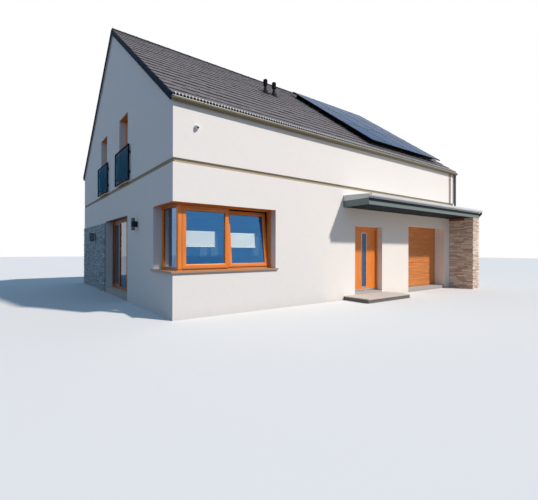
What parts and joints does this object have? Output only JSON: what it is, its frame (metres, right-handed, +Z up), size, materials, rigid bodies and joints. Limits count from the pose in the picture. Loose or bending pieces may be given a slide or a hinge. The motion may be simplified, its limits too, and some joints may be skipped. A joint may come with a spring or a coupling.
{
  "type": "detached house",
  "caption": "Detached house with a steep tiled roof, corner window, terrace door, entrance canopy on a stone pier, garage door and roof solar array.",
  "frame": {"origin": "centre of the footprint, on the underside of the ground slab at the lowest ground level", "axes": "+X along the front to the right as seen from outside, +Y from the front to the back, +Z up"},
  "size_m": [12.9878, 12.0743, 9.1235],
  "materials": {
    "plaster": "smooth off-white render",
    "groove_plaster": "brown painted render",
    "concrete": "plain concrete",
    "roof_tile": "matt dark grey interlocking tiles",
    "roof_deck": "plain timber",
    "blind_fabric": "pleated, white",
    "verge_metal": "dark coated sheet",
    "gutter_metal": "brown coated sheet",
    "dark_pipe": "dark coated pipe",
    "solar_glass": "dark blue cells under a glossy cover",
    "aluminium_rail": "plain extruded",
    "vent_plastic": "black plastic",
    "canopy_board": "dark painted boards",
    "fascia_sheet": "blue-grey coated sheet",
    "flashing_sheet": "pale grey coated sheet",
    "canopy_zinc": "plain zinc sheet",
    "pier_stone": "split-faced ledger stone",
    "panel_stone": "split-faced ledger stone",
    "step_stone": "sawn stone",
    "window_wood": "stained, satin",
    "window_glass": "clear insulating glass",
    "sill_metal": "brown coated sheet",
    "railing_metal": "dark coated steel",
    "garage_wood": "stained wood-grain sections, satin",
    "handle_steel": "brushed",
    "lamp_metal": "dark coated",
    "camera_plastic": "white plastic"
  },
  "bodies": {
    "house": {"floor_slab": "concrete", "doorstep": "step_stone", "corner_walls": "plaster", "front_wall": "plaster", "left_wall": "plaster", "door_lintels": "plaster", "back_wall": "plaster", "right_wall": "plaster", "groove_band": "groove_plaster", "upper_floor": "concrete", "upper_front_wall": "plaster", "upper_back_wall": "plaster", "left_gable": "plaster", "right_gable": "plaster", "roof_front_deck": "roof_deck", "roof_back_deck": "roof_deck", "roof_front_tiles": "roof_tile", "roof_back_tiles": "roof_tile", "ridge_cap": "roof_tile", "verge_trims": "verge_metal", "roof_gutters": "gutter_metal", "downpipes": "dark_pipe", "thin_pipe": "gutter_metal", "pv_modules": "solar_glass", "pv_rails": "aluminium_rail", "vent_pipes": "vent_plastic", "canopy_roof": "canopy_board", "canopy_fascia": "fascia_sheet", "canopy_flashing": "flashing_sheet", "canopy_gutter": "canopy_zinc", "stone_pier": "pier_stone", "stone_panel": "panel_stone", "corner_window_frame": "window_wood", "corner_window_glass": "window_glass", "tilted_sash": "window_wood", "pleated_blinds": "blind_fabric", "corner_window_sill": "sill_metal", "window_frames": "window_wood", "window_glass": "window_glass", "window_sills": "sill_metal", "railings": "railing_metal", "railing_brackets": "railing_metal", "terrace_door_frame": "window_wood", "front_door_frame": "window_wood", "door_hinges": "handle_steel", "garage_door": "garage_wood", "wall_lamp": "lamp_metal", "wall_lantern": "lamp_metal", "security_camera": "camera_plastic"},
    "front_door": {"front_door_leaf": "window_wood", "front_door_glass": "window_glass", "front_door_fittings": "handle_steel"},
    "terrace_door": {"terrace_leaf": "window_wood", "terrace_leaf_glass": "window_glass", "terrace_leaf_fittings": "handle_steel"}
  },
  "joints": [
    {"name": "front_door_hinge", "type": "hinge", "parent": "house", "child": "front_door", "pos_m": [1.0955, -5.151, 1.2275], "axis": [0, 0, -1], "range_deg": [0, 90]},
    {"name": "terrace_door_hinge", "type": "hinge", "parent": "house", "child": "terrace_door", "pos_m": [-5.943, 1.0105, 1.375], "axis": [0, 0, 1], "range_deg": [0, 90]}
  ]
}
